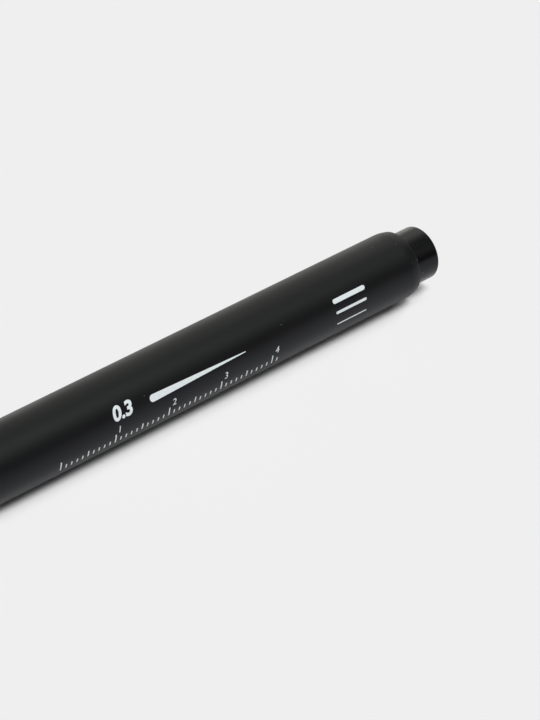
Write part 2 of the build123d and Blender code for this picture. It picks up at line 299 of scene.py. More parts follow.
def grown(name: str, tree: Tree, values: dict, mesh: Mesh | None = None) -> Piece:
    """Run a Geometry Nodes tree and keep its result as plain mesh.

    Args:
        name: Name of the new object.
        tree: The tree to run.
        values: The tree's inputs by name.
        mesh: Mesh that the tree changes, or None where it makes its own.

    Returns:
        An object with plain mesh and no modifier.
    """
    piece = placed(name, mesh or bpy.data.meshes.new(name))
    modifier = piece.modifiers.new("shape", "NODES")
    modifier.node_group = tree
    for item in tree.interface.items_tree:
        if item.in_out == "INPUT" and item.name in values:
            modifier[item.identifier] = values[item.name]
    settle(piece)
    return piece


# Mesh helpers


def placed(name: str, data: bpy.types.ID) -> Piece:
    """Put a mesh, a curve, a lamp or a camera in the scene.

    Args:
        name: Name of the new object.
        data: What it shows.

    Returns:
        The object, at the origin.
    """
    piece = bpy.data.objects.new(name, data)
    bpy.context.scene.collection.objects.link(piece)
    return piece


def plain_mesh(piece: Piece) -> Mesh:
    """Evaluate an object with its modifiers and return a new mesh of it."""
    graph = bpy.context.evaluated_depsgraph_get()
    return bpy.data.meshes.new_from_object(piece.evaluated_get(graph))


def settle(piece: Piece) -> None:
    """Turn a piece's modifiers into plain mesh, remove them and set its creases.

    Args:
        piece: The piece that changes.
    """
    mesh = plain_mesh(piece)
    for place in reversed(range(len(mesh.materials))):
        if mesh.materials[place] is None:
            mesh.materials.pop(index=place)
    piece.modifiers.clear()
    piece.data = mesh
    crease(mesh)


def crease(mesh: Mesh) -> None:
    """Shade a mesh smooth, with creases at its sharp edges."""
    mesh.shade_smooth()
    mesh.set_sharp_from_angle(angle=SHARP)


def face_outwards(shape: Shape) -> None:
    """Turn every face of a closed shape outwards.

    Args:
        shape: The shape that changes.
    """
    bmesh.ops.recalc_face_normals(shape, faces=shape.faces)
    if shape.calc_volume(signed=True) < 0:
        bmesh.ops.reverse_faces(shape, faces=shape.faces)


def mesh_of(name: str, shape: Shape) -> Mesh:
    """Make a mesh of a finished shape.

    Args:
        name: Name of the mesh.
        shape: The shape, which is freed.

    Returns:
        The new mesh.
    """
    mesh = bpy.data.meshes.new(name)
    shape.to_mesh(mesh)
    shape.free()
    return mesh


def solid_piece(name: str, shape: Shape, material: Material) -> Piece:
    """Make an object of a finished shape.

    Args:
        name: Name of the object.
        shape: The shape, which is freed.
        material: Its material.

    Returns:
        The new object, at the origin.
    """
    mesh = mesh_of(name, shape)
    mesh.materials.append(material)
    crease(mesh)
    return placed(name, mesh)


def combine(piece: Piece, tool: Piece, how: Join, crossing: bool = False) -> None:
    """Fuse a piece with a tool, or cut the tool out of it, and remove the tool.

    Args:
        piece: The piece that changes.
        tool: A closed solid.
        how: Fuse or cut.
        crossing: Whether parts of the tool run through each other.
    """
    modifier = piece.modifiers.new("combine", "BOOLEAN")
    modifier.operation = how.value
    modifier.solver = "EXACT"
    modifier.use_self = crossing
    modifier.object = tool
    settle(piece)
    bpy.data.objects.remove(tool)


def block(name: str, low: Vector, high: Vector, turn: Matrix) -> Piece:
    """Make a box to cut with.

    Args:
        name: Name of the object.
        low: Lowest corner in the box's own axes, in millimetres.
        high: Highest corner.
        turn: Rotation from the box's own axes to the frame.

    Returns:
        The box.
    """
    shape = bmesh.new()
    size = (high - low) * MM
    middle = (high + low) / 2 * MM
    place = turn @ Matrix.Translation(middle) @ Matrix.Diagonal((*size, 1))
    bmesh.ops.create_cube(shape, size=1.0, matrix=place)
    return placed(name, mesh_of(name, shape))


def sliced(shape: Shape, axis: int, cuts: Sequence[float]) -> None:
    """Cut a flat shape across one axis, so that it can bend there.

    Args:
        shape: The shape to cut.
        axis: 0 for X, 1 for Y.
        cuts: Where to cut, in millimetres.
    """
    across = Vector((axis == 0, axis == 1, 0))
    for cut in cuts:
        everything = shape.verts[:] + shape.edges[:] + shape.faces[:]
        place = across * cut * MM
        bmesh.ops.bisect_plane(shape, geom=everything, dist=WELD * MM, plane_co=place, plane_no=across)


def plate(outline: Sequence[Point], thickness: float) -> Shape:
    """Make a flat closed plate from an outline.

    Args:
        outline: Points in order, anticlockwise, in millimetres.
        thickness: Height of the plate above Z zero.

    Returns:
        The plate.
    """
    shape = bmesh.new()
    low = [shape.verts.new((x * MM, y * MM, 0)) for x, y in outline]
    high = [shape.verts.new((x * MM, y * MM, thickness * MM)) for x, y in outline]
    shape.faces.new(low)
    shape.faces.new(high)
    for place in range(len(outline)):
        shape.faces.new((low[place - 1], low[place], high[place], high[place - 1]))
    face_outwards(shape)
    return shape


@dataclass(frozen=True)
class Corner:
    """One corner of a turned outline: its place, its radius from the axis and how far it is eased."""

    x: float
    r: float
    ease: float = 0.0

    @property
    def point(self) -> Vector:
        """The corner as a vector."""
        return Vector((self.x, self.r))


@dataclass(frozen=True)
class Span:
    """Where a turned CAD node lies: its ends along the pen and its largest radius."""

    front: float
    rear: float
    radius: float

    @classmethod
    def of(cls, node: str) -> Span:
        """Read a node's span from the frame."""
        low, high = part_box(node)
        return cls(low.x / MM, high.x / MM, max(high.y, high.z) / MM)


def arc(centre: Point, radius: float, start: float, turn: float, steps: int) -> list[Corner]:
    """Spread corners along an arc.

    Args:
        centre: Middle of the arc.
        radius: Its radius.
        start: Angle of its first point, in radians.
        turn: Angle that it covers.
        steps: Facets along it.

    Returns:
        The corners, both ends included.
    """
    angles = [start + turn * step / steps for step in range(steps + 1)]
    return [Corner(centre[0] + radius * math.cos(a), centre[1] + radius * math.sin(a)) for a in angles]


def eased(before: Corner, corner: Corner, after: Corner) -> list[Point]:
    """Round one corner of an outline.

    Args:
        before: The corner before it.
        corner: The corner to round.
        after: The corner after it.

    Returns:
        Points along the round.
    """
    back = before.point - corner.point
    ahead = after.point - corner.point
    turn = math.pi - back.angle(ahead)
    reach = min(corner.ease * math.tan(turn / 2), EASE_SHARE * min(back.length, ahead.length))
    radius = reach / math.tan(turn / 2)
    inward = (back.normalized() + ahead.normalized()).normalized()
    centre = corner.point + inward * radius / math.cos(turn / 2)
    start = corner.point + back.normalized() * reach - centre
    end = corner.point + ahead.normalized() * reach - centre
    way = math.copysign(turn, start.x * end.y - start.y * end.x)
    steps = max(FEWEST_EASE_STEPS, math.ceil(turn / EASE_STEP))
    return [tuple(centre + Matrix.Rotation(way * step / steps, 2) @ start) for step in range(steps + 1)]


def outline_of(corners: Sequence[Corner], closed: bool) -> list[Point]:
    """Work out a turned outline, with eased corners and guard rings on its straight runs.

    Args:
        corners: The outline's corners in order.
        closed: Whether the last corner joins the first.

    Returns:
        The outline's points.
    """
    rough: list[Point] = []
    for place, corner in enumerate(corners):
        inside = closed or 0 < place < len(corners) - 1
        if corner.ease and inside:
            rough.extend(eased(corners[place - 1], corner, corners[(place + 1) % len(corners)]))
        else:
            rough.append((corner.x, corner.r))
    points: list[Point] = []
    for place, here in enumerate(rough):
        points.append(here)
        last = place == len(rough) - 1
        if last and not closed:
            break
        run = Vector(rough[(place + 1) % len(rough)]) - Vector(here)
        if run.length > GUARDED_RUN:
            inner = run.length - 2 * GUARD
            steps = math.ceil(inner / LONGEST_RUN)
            along = [(GUARD + inner * step / steps) / run.length for step in range(steps + 1)]
            points.extend(tuple(Vector(here) + run * share) for share in along)
    return points


def turned(corners: Sequence[Corner]) -> Shape:
    """Turn an outline round the pen's axis.

    Args:
        corners: The outline's corners. One that starts on the axis ends there, and any other is closed.

    Returns:
        A closed shape.
    """
    shape = bmesh.new()
    closed = corners[0].r > POLE
    angles = [2 * math.pi * step / ROUND_SEGMENTS for step in range(ROUND_SEGMENTS)]
    rings = []
    for x, r in outline_of(corners, closed):
        around = angles if r > POLE else angles[:1]
        places = [(x * MM, -r * MM * math.cos(a), r * MM * math.sin(a)) for a in around]
        rings.append([shape.verts.new(place) for place in places])
    following = rings[1:] + rings[:1] if closed else rings[1:]
    for ring, other in zip(rings, following):
        for step in range(ROUND_SEGMENTS):
            sides = ((ring, step), (ring, step + 1), (other, step + 1), (other, step))
            vertices = [side[place % len(side)] for side, place in sides]
            shape.faces.new(list(dict.fromkeys(vertices)))
    face_outwards(shape)
    return shape


@dataclass(frozen=True)
class BarRing:
    """Bars that lie along the pen and repeat round its axis. Angles are degrees from -Y towards +Z."""

    count: int
    radius: float
    length: float
    height: float
    thickness: float
    station: float
    start: float = 0.0
    form: Bar = Bar.BLOCK
    rod_sides: int = 40

    def build(self, name: str, material: Material) -> Piece:
        """Make the bars.

        Args:
            name: Name of the object.
            material: Material of the bars.

        Returns:
            One object with every bar.
        """
        lengths = {
            "Radius": self.radius,
            "Length": self.length,
            "Height": self.height,
            "Thickness": self.thickness,
            "Station": self.station,
        }
        values = {**in_metres(lengths), "Start": math.radians(self.start)}
        graph = ShapeGraph(name, takes_mesh=False)
        count = graph.takes("Count", kind="NodeSocketInt")["Count"]
        size = graph.takes(*values)
        step = graph.maths("DIVIDE", 2 * math.pi, count)
        angle = graph.maths("MULTIPLY_ADD", graph.out("GeometryNodeInputIndex"), step, size["Start"])
        place = graph.round_axis(size["Station"], size["Radius"], angle)
        lean = graph.vector(graph.maths("MULTIPLY", angle, -1.0))
        turn = graph.out("FunctionNodeEulerToRotation", {0: lean})
        bars = graph.spread(count, place, self.bar(graph, size), Rotation=turn)
        return grown(name, graph.close(bars), {**values, "Count": self.count, "Material": material})

    def bar(self, graph: ShapeGraph, size: dict[str, Socket]) -> Socket:
        """Add the nodes of one bar.

        Args:
            graph: The tree.
            size: The tree's number inputs by name.

        Returns:
            The bar's geometry, lying along X.
        """
        if self.form is Bar.BLOCK:
            sides = graph.vector(size["Length"], size["Height"], size["Thickness"])
            return graph.out("GeometryNodeMeshCube", {"Size": sides})
        half = graph.maths("MULTIPLY", size["Thickness"], 0.5)
        sides = {"Vertices": self.rod_sides, "Radius": half, "Depth": size["Length"]}
        rod = graph.out("GeometryNodeMeshCylinder", sides)
        return graph.out("GeometryNodeTransform", {0: rod, "Rotation": (0, math.pi / 2, 0)})


# Finishes


class SurfaceGraph(Graph):
    """A material's node tree, with one shader and patterns in the frame's own coordinates."""

    def __init__(self, name: str, uv_map: str = "") -> None:
        """Start a material with an empty Principled shader.

        Args:
            name: The material's name.
            uv_map: UV map that its patterns follow, or nothing for the frame's coordinates.
        """
        self.material = bpy.data.materials.new(name)
        self.material.use_nodes = True
        super().__init__(self.material.node_tree)
        self.shader = self.tree.nodes["Principled BSDF"]
        if uv_map:
            self.place = self.out("ShaderNodeUVMap", uv_map=uv_map)
        else:
            self.place = self.add("ShaderNodeTexCoord").outputs["Object"]

    def keep(self, **numbers: object) -> None:
        """Set shader inputs that are the same all over, by name with underscores for spaces."""
        for name, value in numbers.items():
            self.shader.inputs[name.replace("_", " ")].default_value = value

    def vary(self, name: str, socket: Socket) -> None:
        """Link a pattern to one of the shader's inputs."""
        self.tree.links.new(socket, self.shader.inputs[name])

    def noise(self, size: float, detail: float = 2.0, along: float = 1.0) -> Socket:
        """Add a cloudy pattern.

        Args:
            size: Size of its patches, in millimetres.
            detail: Levels of finer detail.
            along: How many times longer the patches are along the pen.

        Returns:
            The pattern, from 0 to 1.
        """
        vector = self.place
        if along != 1.0:
            squeeze = {0: self.place, 1: (1 / along, 1, 1)}
            vector = self.out("ShaderNodeVectorMath", squeeze, operation="MULTIPLY")
        cloud = {"Vector": vector, "Scale": 1 / (size * MM), "Detail": detail}
        return self.out("ShaderNodeTexNoise", cloud)

    def drifting(self, pattern: Socket, span: Point, middle: float, drift: float) -> None:
        """Let the roughness follow a pattern.

        Args:
            pattern: The pattern.
            span: The numbers of the pattern that give the least and the most.
            middle: The middle roughness.
            drift: How far it goes to either side.
        """
        self.vary("Roughness", self.ramp(pattern, span, middle - drift, middle + drift))

    def relief(self, height: Socket, depth: float) -> None:
        """Give the surface a relief.

        Args:
            height: The pattern.
            depth: Its depth, in millimetres.
        """
        bump = {"Strength": 1.0, "Distance": depth * MM, "Height": height}
        self.vary("Normal", self.out("ShaderNodeBump", bump))

    def tinted(self, share: Socket, first: Colour, second: Colour) -> None:
        """Colour the surface between two colours.

        Args:
            share: Share of the second colour.
            first: First colour.
            second: Second colour.
        """
        colours = zip(MIX_COLOURS, ((*first, 1), (*second, 1)))
        mix = self.add("ShaderNodeMix", {0: share, **dict(colours)}, data_type="RGBA")
        self.vary("Base Color", mix.outputs[MIX_RESULT])

    def specks(self, cell: float, size: float, share: Socket) -> Socket:
        """Scatter small uneven specks.

        Args:
            cell: Mean distance between places for a speck, in millimetres.
            size: Radius of the largest speck, in millimetres.
            share: Share of the places that hold one.

        Returns:
            1 on a speck and 0 elsewhere.
        """
        reach = size * MM
        warp = self.add("ShaderNodeTexNoise", {"Vector": self.place, "Scale": 1 / reach})
        frayed = {0: warp.outputs["Color"], 1: (reach, reach, reach), 2: self.place}
        vector = self.out("ShaderNodeVectorMath", frayed, operation="MULTIPLY_ADD")
        cells = self.add("ShaderNodeTexVoronoi", {"Vector": vector, "Scale": 1 / (cell * MM)})
        lot = self.add("ShaderNodeSeparateColor", {0: cells.outputs["Color"]}).outputs
        edge = self.ramp(lot["Green"], (0.0, 1.0), SMALLEST_SPECK * size / cell, size / cell)
        near = self.ramp(self.maths("DIVIDE", cells.outputs["Distance"], edge), (1.0, SPECK_CORE))
        return self.maths("MULTIPLY", near, self.maths("LESS_THAN", lot["Red"], share))


@dataclass(frozen=True)
class MouldedPlastic:
    """Moulded plastic: a fine grain, a sheen that drifts from place to place, and a little dust.

    The dust's two shares are those before and after the stations of its span.
    """

    name: str
    colour: Colour
    roughness: float
    drift: float
    grain: float
    depth: float
    dust: Point = (0.0, 0.0)
    dust_span: Point = (82.0, 91.0)
    dust_colour: Colour = (0.24, 0.24, 0.23)
    dust_cell: float = 0.7
    dust_size: float = 0.085
    drift_size: float = 6.0
    drift_detail: float = 4.0
    drift_stretch: float = 2.5
    drift_span: Point = (0.25, 0.75)
    ior: float = 1.355
    # cool tint on every reflection: painted light colour that stands in for the cool light around the
    # pen
    cast: Colour = (0.85, 0.88, 1.0)

    def material(self) -> Material:
        """Build the finish.

        Returns:
            Its material.
        """
        graph = SurfaceGraph(self.name)
        # the reflections take the painted cool light tint
        graph.keep(IOR=self.ior, Specular_Tint=(*self.cast, 1))
        cloud = graph.noise(self.drift_size, self.drift_detail, self.drift_stretch)
        graph.drifting(cloud, self.drift_span, self.roughness, self.drift)
        graph.relief(graph.noise(self.grain), self.depth)
        start, end = self.dust_span
        share = graph.ramp(graph.parts(graph.place)["X"], (start * MM, end * MM), *self.dust)
        graph.tinted(graph.specks(self.dust_cell, self.dust_size, share), self.colour, self.dust_colour)
        return graph.material


@dataclass(frozen=True)
class BrushedSteel:
    """Stainless steel with fine drawn lines along the pen, or along a strip's own UV map.

    Broader lines are darker, by the share that the shade gives.
    """

    name: str
    colour: Colour
    roughness: float
    line: float
    depth: float
    uv_map: str = ""
    stretch: float = 90.0
    line_detail: float = 3.0
    drift: float = 0.07
    drift_span: Point = (0.3, 0.7)
    shade: float = 0.82
    shade_lines: float = 3.0
    shade_span: Point = (0.35, 0.7)

    def material(self) -> Material:
        """Build the finish.

        Returns:
            Its material.
        """
        graph = SurfaceGraph(self.name, self.uv_map)
        graph.keep(Metallic=1.0)
        lines = graph.noise(self.line, self.line_detail, self.stretch)
        graph.drifting(lines, self.drift_span, self.roughness, self.drift)
        graph.relief(lines, self.depth)
        broad = graph.noise(self.line * self.shade_lines, along=self.stretch)
        shade = tuple(self.shade * part for part in self.colour)
        graph.tinted(graph.ramp(broad, self.shade_span), self.colour, shade)
        return graph.material


@dataclass(frozen=True)
class Clouded:
    """A finish whose two colours, roughness and relief follow one cloudy pattern.

    The relief follows a finer pattern where the grain has a size. Without a span for the tint, the
    pattern itself is the second colour's share.
    """

    name: str
    colour: Colour
    second: Colour
    patch: float
    detail: float = 4.0
    stretch: float = 1.0
    tint_span: Point | None = (0.3, 0.7)
    roughness: float = 0.5
    drift: float = 0.06
    drift_span: Point = (0.3, 0.7)
    depth: float = 0.001
    grain: float = 0.0

    def constants(self) -> dict[str, object]:
        """Return the shader inputs that are the same all over."""
        return {}

    def material(self) -> Material:
        """Build the finish.

        Returns:
            Its material.
        """
        graph = SurfaceGraph(self.name)
        graph.keep(**self.constants())
        cloud = graph.noise(self.patch, self.detail, self.stretch)
        share = graph.ramp(cloud, self.tint_span) if self.tint_span else cloud
        graph.tinted(share, self.colour, self.second)
        graph.drifting(cloud, self.drift_span, self.roughness, self.drift)
        graph.relief(graph.noise(self.grain) if self.grain else cloud, self.depth)
        return graph.material


@dataclass(frozen=True)
class LinerPlastic(Clouded):
    """Soft natural plastic that lets a little light in."""

    patch: float = 2.5
    roughness: float = 0.42
    drift: float = 0.05
    depth: float = 0.003
    grain: float = 0.12
    glow: float = 0.3
    glow_reach: float = 0.6

    def constants(self) -> dict[str, object]:
        """Return the shader inputs that let light in."""
        reach = (self.glow_reach * MM,) * 3
        return {"Subsurface_Weight": self.glow, "Subsurface_Radius": reach, "Subsurface_Scale": 1.0}


@dataclass(frozen=True)
class InkedFibre(Clouded):
    """Bundled fibre, soaked with ink, with strands along the pen."""

    detail: float = 3.0
    stretch: float = 40.0
    tint_span: Point | None = (0.35, 0.65)
    roughness: float = 0.86
    drift: float = 0.08


@dataclass(frozen=True)
class ClearFilm(Clouded):
    """Clear wrapping film with faint creases along the pen."""

    patch: float = 0.8
    detail: float = 3.0
    stretch: float = 20.0
    tint_span: Point | None = None
    roughness: float = 0.14
    depth: float = 0.02
    clear: float = 0.85
    ior: float = 1.49

    def constants(self) -> dict[str, object]:
        """Return the shader inputs that let light through."""
        return {"Transmission_Weight": self.clear, "IOR": self.ior}


@dataclass(frozen=True)
class PrintInk(Clouded):
    """Thin white pad-printed ink, with slightly uneven cover."""

    patch: float = 0.35
    tint_span: Point | None = (0.45, 0.8)
    grain: float = 0.06


BARREL_PLASTIC = MouldedPlastic(
    "barrel_satin_black", (0.0015, 0.0015, 0.0016), roughness=0.45, drift=0.03, grain=0.16, depth=0.0035,
    dust=(0.015, 0.4), ior=1.358,
)
PLUG_PLASTIC = MouldedPlastic(
    "plug_gloss_black", (0.003, 0.003, 0.0031), roughness=0.22, drift=0.03, grain=0.5, depth=0.0025,
    dust=(0.1, 0.1), ior=1.315,
)
HOLDER_PLASTIC = MouldedPlastic(
    "holder_satin_black", (0.009, 0.009, 0.0095), roughness=0.42, drift=0.04, grain=0.12, depth=0.003
)
CAP_PLASTIC = MouldedPlastic(
    "cap_satin_black", (0.003, 0.003, 0.0031), roughness=0.46, drift=0.03, grain=0.16, depth=0.0035,
    dust=(0.02, 0.02),
)
CROWN_PLASTIC = MouldedPlastic(
    "crown_gloss_black", (0.003, 0.003, 0.0031), roughness=0.22, drift=0.03, grain=0.5, depth=0.0025,
    dust=(0.02, 0.02),
)
CLIP_STEEL = BrushedSteel(
    "clip_brushed_steel", (0.62, 0.62, 0.63), roughness=0.3, line=0.05, depth=0.0012, uv_map=STRIP_MAP
)
SLEEVE_STEEL = BrushedSteel(
    "sleeve_drawn_steel", (0.66, 0.66, 0.67), roughness=0.24, line=0.03, depth=0.0006
)
LINER_PLASTIC = LinerPlastic("liner_natural_plastic", (0.74, 0.74, 0.70), (0.68, 0.68, 0.63))
NIB_FIBRE = InkedFibre(
    "nib_inked_fibre", (0.012, 0.012, 0.014), (0.03, 0.03, 0.034), patch=0.03, depth=0.004
)
CORE_FIBRE = InkedFibre(
    "reservoir_inked_fibre", (0.02, 0.02, 0.024), (0.07, 0.07, 0.08), patch=0.1, depth=0.02
)
WICK_FIBRE = InkedFibre(
    "wick_inked_fibre", (0.015, 0.015, 0.018), (0.05, 0.05, 0.06), patch=0.06, depth=0.01
)
CORE_FILM = ClearFilm("reservoir_clear_film", (0.86, 0.88, 0.9), (0.76, 0.78, 0.8))
WHITE_INK = PrintInk("print_white_ink", (0.675, 0.725, 0.735), (0.59, 0.635, 0.645))


def hand_over(piece: Piece, body: Body, slot: str, *nodes: str) -> None:
    """Let a finished piece ride on its body and stand for its CAD nodes.

    Args:
        piece: The finished piece.
        body: Body that carries it.
        slot: The record's material slot; not used.
        nodes: CAD nodes that it replaces.
    """
    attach(piece, body.value)
    if nodes:
        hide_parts(*nodes)
    LOG.info("%s on %s: %d faces", piece.name, body.value, len(piece.data.polygons))


# Sub-assemblies


@dataclass
class Barrel:
    """Satin barrel: a stepped nose for the cap and grip, a gently rounded shoulder, ribs in its bore."""

    span: Span
    grip_length: float = 12.5
    grip_front: float = 3.93
    grip_rear: float = 4.23
    neck: float = 4.35
    bore: float = 3.3
    chamber: float = 4.0
    chamber_start: float = 2.0
    groove_middle: float = -4.0
    groove_width: float = 1.4
    groove_depth: float = 0.1
    shoulder_radius: float = 7.5
    shoulder_length: float = 2.0
    shoulder_steps: int = 24
    rim_ease: float = 0.35
    stop_ease: float = 0.18
    edge_ease: float = 0.08
    rib_count: int = 6
    rib_width: float = 0.8
    rib_rear: float = 81.3

    def corners(self) -> list[Corner]:
        """Lay out the barrel's outline.

        Returns:
            Its corners: outside from the grip to the rim, then the bore back to the front.
        """
        front, rear, radius = self.span.front, self.span.rear, self.span.radius
        grip_end = front + self.grip_length
        groove = [self.groove_middle - self.groove_width / 2, self.groove_middle + self.groove_width / 2]
        floor = self.neck - self.groove_depth
        sweep = math.asin(self.shoulder_length / self.shoulder_radius)
        middle = (rear - self.shoulder_length, radius - self.shoulder_radius)
        shoulder = arc(middle, self.shoulder_radius, math.pi / 2, -sweep, self.shoulder_steps)
        rim = shoulder.pop()
        return [
            Corner(front, self.grip_front, self.edge_ease),
            Corner(grip_end, self.grip_rear, self.edge_ease),
            Corner(grip_end, self.neck, self.edge_ease),
            Corner(groove[0], self.neck),
            Corner(groove[0], floor),
            Corner(groove[1], floor),
            Corner(groove[1], self.neck),
            Corner(0.0, self.neck),
            Corner(0.0, radius, self.stop_ease),
            *shoulder,
            Corner(rim.x, rim.r, self.rim_ease),
            Corner(rear, self.chamber),
            Corner(self.chamber_start, self.chamber),
            Corner(self.chamber_start, self.bore),
            Corner(front, self.bore),
        ]

    def build(self) -> None:
        """Make the barrel with its ribs."""
        material = BARREL_PLASTIC.material()
        barrel = solid_piece("barrel_moulding", turned(self.corners()), material)
        length = self.rib_rear - self.chamber_start
        sunk = (self.span.radius - self.chamber) / 2
        ribs = BarRing(
            count=self.rib_count,
            radius=(self.bore + self.chamber + sunk) / 2,
            length=length + sunk,
            height=self.chamber + sunk - self.bore,
            thickness=self.rib_width,
            station=self.chamber_start - sunk + (length + sunk) / 2,
        )
        combine(barrel, ribs.build("barrel_ribs", material), Join.FUSE)
        hand_over(barrel, Body.PEN, "barrel_plastic", "barrel")


@dataclass
class BarrelPrint:
    """White print on the barrel: a line width with a tapered stroke, a scale, three sample lines.

    Places are (x along the pen, arc upwards from -Y), both in millimetres.
    """

    radius: float
    ink: float = 0.014
    sunk: float = 0.003
    bend_step: float = 0.12
    numeral: str = "0.3"
    numeral_place: Point = (31.0, 1.55)
    numeral_height: float = 2.3
    numeral_weight: float = 0.035
    numeral_lean: float = 0.18
    stroke_start: Point = (38.3, 2.35)
    stroke_end: float = 56.0
    stroke_width: Point = (1.15, 0.12)
    end_facets: int = 10
    scale_start: float = 21.0
    scale_foot: float = -2.1
    scale_count: int = 42
    scale_pitch: float = 1.0
    medium_each: int = 5
    long_each: int = 10
    tick_heights: tuple[float, float, float] = (0.75, 1.15, 1.6)
    tick_stroke: float = 0.22
    tick_rows: int = 12
    digit_height: float = 1.05
    digit_foot: float = -0.35
    digit_gap: float = 0.55
    sample_span: Point = (74.2, 80.0)
    sample_arcs: tuple[float, float, float] = (3.1, 1.25, -0.75)
    sample_widths: tuple[float, float, float] = (0.75, 0.45, 0.22)

    def numeral_shape(self, text: str, place: Point, height: float, weight: float = 0.0) -> Shape:
        """Make plain numerals as a flat plate.

        Args:
            text: Digits to set.
            place: Lower left corner.
            height: Height of the digits.
            weight: How far the strokes are thickened, as a share of the type size.

        Returns:
            The flat numerals, in their place.
        """
        curve = bpy.data.curves.new("digits", "FONT")
        curve.body = text
        curve.offset = weight
        curve.shear = self.numeral_lean
        curve.extrude = TYPE_DEPTH
        setting = placed("digits", curve)
        shape = bmesh.new()
        shape.from_mesh(plain_mesh(setting))
        bpy.data.objects.remove(setting)
        bmesh.ops.remove_doubles(shape, verts=shape.verts, dist=TYPE_WELD)
        low, high = (
            Vector([end(vertex.co[axis] for vertex in shape.verts) for axis in range(3)])
            for end in (min, max)
        )
        size = height * MM / (high.y - low.y)
        corner = Vector((place[0] * MM, place[1] * MM, 0))
        scale = Matrix.Diagonal((size, size, self.ink * MM / (high.z - low.z), 1))
        move = Matrix.Translation(corner) @ scale @ Matrix.Translation(-low)
        bmesh.ops.transform(shape, matrix=move, verts=shape.verts)
        face_outwards(shape)
        return shape

    def stroke_shape(self, start: Point, end: float, widths: Point) -> Shape:
        """Make a straight stroke along the pen with round ends.

        Args:
            start: Middle of its front end.
            end: Station of its rear end.
            widths: Its width at the front and at the rear.

        Returns:
            The flat stroke.
        """
        x, y = start
        outline: list[Point] = []
        for centre, width, first in ((x, widths[0], math.pi / 2), (end, widths[1], -math.pi / 2)):
            end_arc = arc((centre, y), width / 2, first, math.pi, self.end_facets)
            outline.extend((corner.x, corner.r) for corner in end_arc)
        return plate(outline, self.ink)

    def wrap(self, name: str, shapes: Sequence[Shape], material: Material) -> Piece:
        """Lay flat shapes on the barrel.

        Args:
            name: Name of the piece.
            shapes: Flat plates, which are freed.
            material: The ink.

        Returns:
            The piece, wrapped round the barrel.
        """
        joined = bmesh.new()
        for shape in shapes:
            arcs = [vertex.co.y / MM / self.bend_step for vertex in shape.verts]
            steps = range(math.ceil(min(arcs)), math.floor(max(arcs)) + 1)
            sliced(shape, 1, [step * self.bend_step for step in steps])
            part = mesh_of("part", shape)
            joined.from_mesh(part)
            bpy.data.meshes.remove(part)
        graph = ShapeGraph(name, takes_mesh=True)
        surface = graph.takes("Surface")["Surface"]
        tree = graph.close(graph.wrapped(graph.entry.outputs["Mesh"], surface))
        values = {"Surface": (self.radius - self.sunk) * MM, "Material": material}
        return grown(name, tree, values, mesh_of(name, joined))

    def scale_row(self, name: str, material: Material) -> Piece:
        """Make the scale's ticks: a short one each step, and longer ones at the steps set for them.

        Args:
            name: Name of the piece.
            material: The ink.

        Returns:
            The ticks, wrapped round the barrel.
        """
        lengths = {
            **dict(zip(("Short", "Medium", "Long"), self.tick_heights)),
            "Pitch": self.scale_pitch,
            "Start": self.scale_start,
            "Foot": self.scale_foot,
            "Stroke": self.tick_stroke,
            "Ink": self.ink,
            "Surface": self.radius - self.sunk,
        }
        graph = ShapeGraph(name, takes_mesh=False)
        count = graph.takes("Count", kind="NodeSocketInt")["Count"]
        size = graph.takes(*lengths)
        index = graph.out("GeometryNodeInputIndex")
        height = size["Short"]
        for each, longer in ((self.medium_each, "Medium"), (self.long_each, "Long")):
            falls = graph.maths("LESS_THAN", graph.maths("MODULO", index, float(each)), 0.5)
            either = {0: falls, 1: height, 2: size[longer]}
            height = graph.out("GeometryNodeSwitch", either, input_type="FLOAT")
        place = graph.vector(
            graph.maths("MULTIPLY_ADD", index, size["Pitch"], size["Start"]),
            graph.maths("MULTIPLY_ADD", height, 0.5, size["Foot"]),
            graph.maths("MULTIPLY", size["Ink"], 0.5),
        )
        facets = {"Vertices X": 2, "Vertices Y": self.tick_rows, "Vertices Z": 2}
        tick = graph.out("GeometryNodeMeshCube", {"Size": (1, 1, 1), **facets})
        ticks = graph.spread(count, place, tick, Scale=graph.vector(size["Stroke"], height, size["Ink"]))
        flat = graph.out("GeometryNodeRealizeInstances", {0: ticks})
        tree = graph.close(graph.wrapped(flat, size["Surface"]))
        return grown(name, tree, {**in_metres(lengths), "Count": self.scale_count, "Material": material})

    def build(self) -> None:
        """Make every row of the print."""
        ink = WHITE_INK.material()
        numeral = self.numeral_shape(
            self.numeral, self.numeral_place, self.numeral_height, self.numeral_weight
        )
        stroke = self.stroke_shape(self.stroke_start, self.stroke_end, self.stroke_width)
        digits = []
        for number in range(1, self.scale_count // self.long_each + 1):
            tick = self.scale_start + number * self.long_each * self.scale_pitch
            place = (tick + self.digit_gap, self.digit_foot)
            digits.append(self.numeral_shape(str(number), place, self.digit_height))
        front, rear = self.sample_span
        samples = [
            self.stroke_shape((front, height), rear, (width, width))
            for height, width in zip(self.sample_arcs, self.sample_widths)
        ]
        for piece in (
            self.wrap("print_line_width", [numeral, stroke], ink),
            self.scale_row("print_scale", ink),
            self.wrap("print_scale_digits", digits, ink),
            self.wrap("print_sample_lines", samples, ink),
        ):
            hand_over(piece, Body.PEN, "barrel_plastic")


